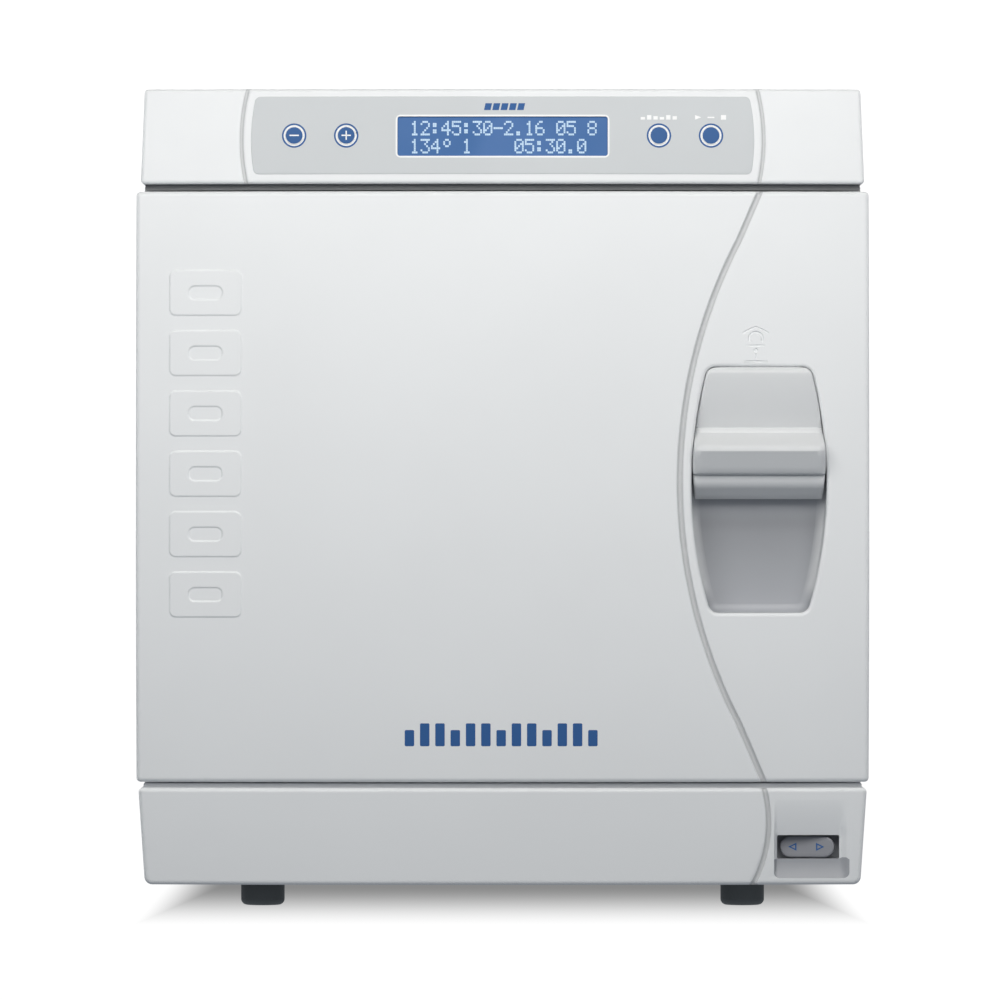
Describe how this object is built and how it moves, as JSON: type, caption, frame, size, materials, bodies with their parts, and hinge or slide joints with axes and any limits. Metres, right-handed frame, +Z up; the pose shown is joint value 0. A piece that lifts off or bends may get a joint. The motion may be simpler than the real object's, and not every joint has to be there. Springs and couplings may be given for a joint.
{
  "type": "benchtop autoclave",
  "caption": "Benchtop steam steriliser: crowned hinged door with sliding lock handle, display panel, pressure chamber with trays, water tank and cooling fan.",
  "frame": {"origin": "under the middle of the cabinet's bounding box, on the plane that the feet stand on", "axes": "+X to the right seen from the front, +Y to the back, +Z up"},
  "size_m": [0.425, 0.6899, 0.485],
  "materials": {
    "cover_white": "semi-gloss moulded white plastic",
    "bowl_grey": "satin light grey moulding",
    "casing_paint": "fine-textured white powder coat",
    "fascia_grey": "satin grey",
    "zinc_steel": "zinc-plated sheet",
    "stainless": "polished stainless steel",
    "machined_steel": "machined",
    "bronze": "machined brass",
    "tray_aluminium": "satin aluminium",
    "silicone": "translucent silicone",
    "foot_rubber": "moulded dark rubber",
    "membrane_grey": "fine-grained polyester film",
    "key_blue": "satin blue",
    "display_glass": "clear window over a blue display",
    "circuit_board": "green board",
    "black_plastic": "moulded black plastic",
    "heater_mica": "steel-clad mica",
    "insulation_felt": "glass-fibre felt",
    "clear_tank": "translucent polypropylene",
    "copper_pipe": "copper tube"
  },
  "bodies": {
    "cabinet": {"base_chassis": "zinc_steel", "side_cover_left": "casing_paint", "side_cover_right": "casing_paint", "top_cover": "casing_paint", "rear_panel": "casing_paint", "front_frame": "zinc_steel", "front_fascia": "fascia_grey", "front_hood": "cover_white", "lower_front_panel": "cover_white", "switch_pocket": "bowl_grey", "control_membrane": "membrane_grey", "display_window": "display_glass", "display_module": "circuit_board", "control_board": "circuit_board", "power_supply": "tray_aluminium", "chamber": "stainless", "heater_band": "heater_mica", "insulation_jacket": "insulation_felt", "chamber_cradle": "zinc_steel", "steam_generator": "stainless", "vacuum_pump": "tray_aluminium", "water_tank": "clear_tank", "condenser": "tray_aluminium", "fan_frame": "black_plastic", "valve_block": "bronze", "steam_pipes": "copper_pipe", "sterile_filter": "clear_tank", "relief_valve_body": "bronze", "lock_studs": "machined_steel", "lock_solenoid": "black_plastic", "hinge_brackets": "machined_steel", "hinge_bushes": "bronze", "tray_rack": "stainless", "trays": "tray_aluminium", "feet": "foot_rubber", "foot_screws": "machined_steel", "cover_screws": "machined_steel", "mains_inlet": "black_plastic", "hose_connectors": "bronze"},
    "door": {"door_cover": "cover_white", "door_inner_cover": "fascia_grey", "door_carrier": "zinc_steel", "door_hub": "machined_steel", "door_plate": "stainless", "door_seal": "silicone", "handle_bowl": "bowl_grey", "bar_guides": "black_plastic", "hinge_pins": "machined_steel"},
    "lock_slide": {"slider_grip": "cover_white", "locking_bar": "machined_steel"},
    "minus_key": {"key_minus": "key_blue"},
    "plus_key": {"key_plus": "key_blue"},
    "program_key": {"key_program": "key_blue"},
    "start_key": {"key_start": "key_blue"},
    "mains_rocker": {"rocker": "black_plastic"},
    "bolt": {"lock_bolt": "machined_steel"},
    "rotor": {"fan_rotor": "black_plastic"},
    "lid": {"tank_lid": "cover_white"},
    "relief_pull": {"relief_spindle": "bronze"}
  },
  "joints": [
    {"name": "door_hinge", "type": "hinge", "parent": "cabinet", "child": "door", "pos_m": [-0.204, -0.308, 0.245], "axis": [0, 0, -1], "range_deg": [0, 115]},
    {"name": "handle_slide", "type": "slide", "parent": "door", "child": "lock_slide", "axis": [0, 0, -1], "range_m": [0, 0.024]},
    {"name": "minus_key_press", "type": "slide", "parent": "cabinet", "child": "minus_key", "axis": [0, 0.9902, -0.1398], "range_m": [0, 0.0008], "stiffness_N_per_m": 800, "springref_m": -0.0006},
    {"name": "plus_key_press", "type": "slide", "parent": "cabinet", "child": "plus_key", "axis": [0, 0.9902, -0.1398], "range_m": [0, 0.0008], "stiffness_N_per_m": 800, "springref_m": -0.0006},
    {"name": "program_key_press", "type": "slide", "parent": "cabinet", "child": "program_key", "axis": [0, 0.9902, -0.1398], "range_m": [0, 0.0008], "stiffness_N_per_m": 800, "springref_m": -0.0006},
    {"name": "start_key_press", "type": "slide", "parent": "cabinet", "child": "start_key", "axis": [0, 0.9902, -0.1398], "range_m": [0, 0.0008], "stiffness_N_per_m": 800, "springref_m": -0.0006},
    {"name": "rocker_tilt", "type": "hinge", "parent": "cabinet", "child": "mains_rocker", "pos_m": [0.1777, -0.3025, 0.0358], "axis": [0, 0, 1], "range_deg": [0, 14]},
    {"name": "bolt_throw", "type": "slide", "parent": "cabinet", "child": "bolt", "axis": [0, -1, 0], "range_m": [0, 0.008], "stiffness_N_per_m": 150, "springref_m": -0.002},
    {"name": "fan_spin", "type": "hinge", "parent": "cabinet", "child": "rotor", "pos_m": [0.1, 0.305, 0.3], "axis": [0, 1, 0], "continuous": true},
    {"name": "lid_lift", "type": "slide", "parent": "cabinet", "child": "lid", "axis": [0, 0, 1], "range_m": [0, 0.12]},
    {"name": "relief_pull_out", "type": "slide", "parent": "cabinet", "child": "relief_pull", "axis": [0, 1, 0], "range_m": [0, 0.003], "stiffness_N_per_m": 2000, "springref_m": -0.002}
  ]
}
